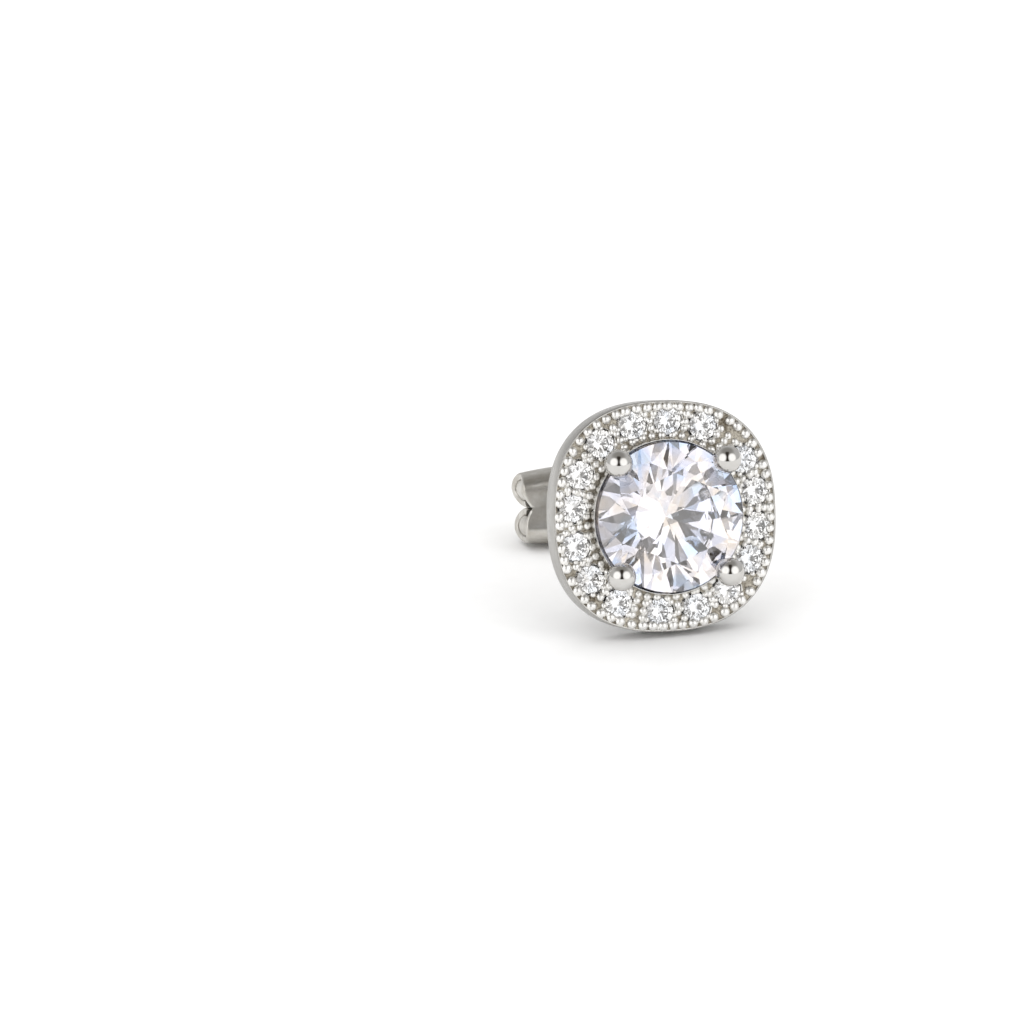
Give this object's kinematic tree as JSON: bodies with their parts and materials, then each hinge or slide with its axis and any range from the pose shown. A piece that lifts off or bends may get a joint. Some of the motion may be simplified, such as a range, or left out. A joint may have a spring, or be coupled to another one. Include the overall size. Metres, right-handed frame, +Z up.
{
  "type": "stud earring",
  "caption": "Cushion-halo stud earring: a round brilliant in ball-tipped prongs within a halo of small bead-set stones, on a straight post with a butterfly clutch.",
  "frame": {"origin": "bottom centre of the bounding box, on the surface that the earring lies on", "axes": "+Z up from that surface; the face looks towards -Y and leans back, and the post runs back along +Y and down; +X is to the right of someone who looks at the face"},
  "size_m": [0.01, 0.0166, 0.01],
  "materials": {
    "white_metal": "polished white metal, softer on the side wall and the clutch",
    "clear_stone": "clear and colourless, facet cut and polished"
  },
  "bodies": {
    "earring": {"setting": "white_metal", "centre_stone": "clear_stone", "halo_stone_01": "clear_stone", "halo_stone_02": "clear_stone", "halo_stone_03": "clear_stone", "halo_stone_04": "clear_stone", "halo_stone_05": "clear_stone", "halo_stone_06": "clear_stone", "halo_stone_07": "clear_stone", "halo_stone_08": "clear_stone", "halo_stone_09": "clear_stone", "halo_stone_10": "clear_stone", "halo_stone_11": "clear_stone", "halo_stone_12": "clear_stone", "halo_stone_13": "clear_stone", "halo_stone_14": "clear_stone", "halo_stone_15": "clear_stone", "halo_stone_16": "clear_stone"},
    "clutch": {"clutch": "white_metal"}
  },
  "joints": [
    {"name": "clutch_slide", "type": "slide", "parent": "earring", "child": "clutch", "axis": [0, 0.9658, -0.2594], "range_m": [-0.0085, 0.003]}
  ]
}
